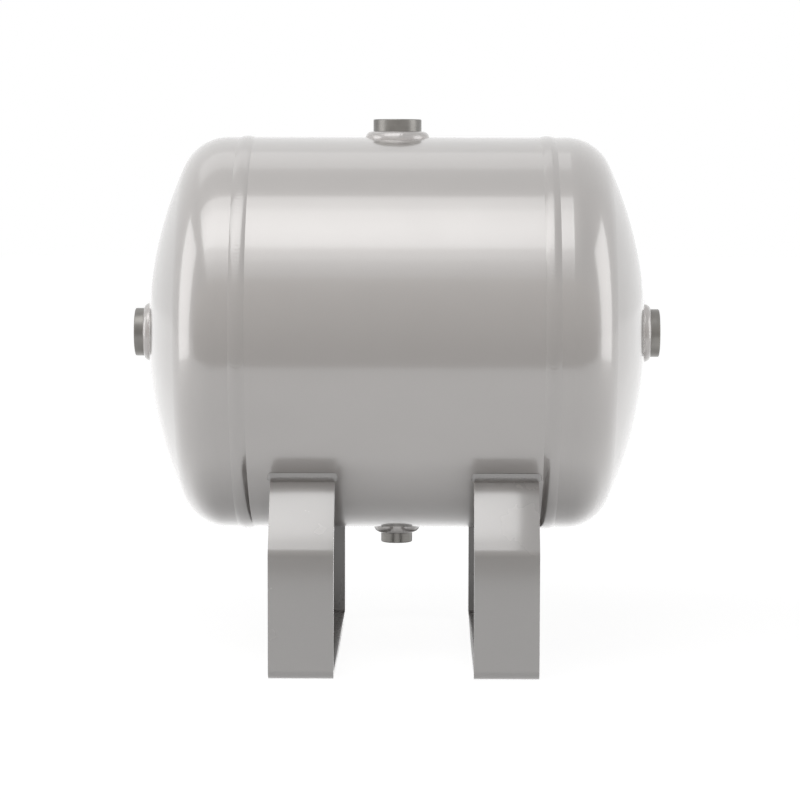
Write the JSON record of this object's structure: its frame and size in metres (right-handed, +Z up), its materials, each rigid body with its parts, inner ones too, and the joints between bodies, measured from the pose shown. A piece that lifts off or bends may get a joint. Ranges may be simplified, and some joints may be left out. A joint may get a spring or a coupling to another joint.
{
  "type": "compressed air tank",
  "caption": "Small horizontal steel receiver for compressed air, with dished heads, threaded ports on top, at both ends and underneath, and welded strip feet.",
  "frame": {"origin": "on the floor under the middle of the shell, at the middle of the object's footprint", "axes": "+Z up, +X along the tank's axis towards the right port, +Y towards the rear, where the weld along the shell lies"},
  "size_m": [0.296, 0.2216, 0.3],
  "materials": {
    "painted_steel": "semi-gloss silver-grey paint",
    "painted_weld": "the same paint over weld beads",
    "bare_steel": "turned bare steel"
  },
  "bodies": {
    "root": {"shell": "painted_steel", "left_head": "painted_steel", "right_head": "painted_steel", "left_girth_weld": "painted_weld", "right_girth_weld": "painted_weld", "long_seam_weld": "painted_weld", "top_port": "bare_steel", "drain_port": "bare_steel", "left_port": "bare_steel", "right_port": "bare_steel", "top_port_weld": "painted_weld", "drain_port_weld": "painted_weld", "left_port_weld": "painted_weld", "right_port_weld": "painted_weld", "left_foot": "painted_steel", "right_foot": "painted_steel", "left_foot_front_weld": "painted_weld", "left_foot_rear_weld": "painted_weld", "right_foot_front_weld": "painted_weld", "right_foot_rear_weld": "painted_weld"}
  },
  "joints": []
}
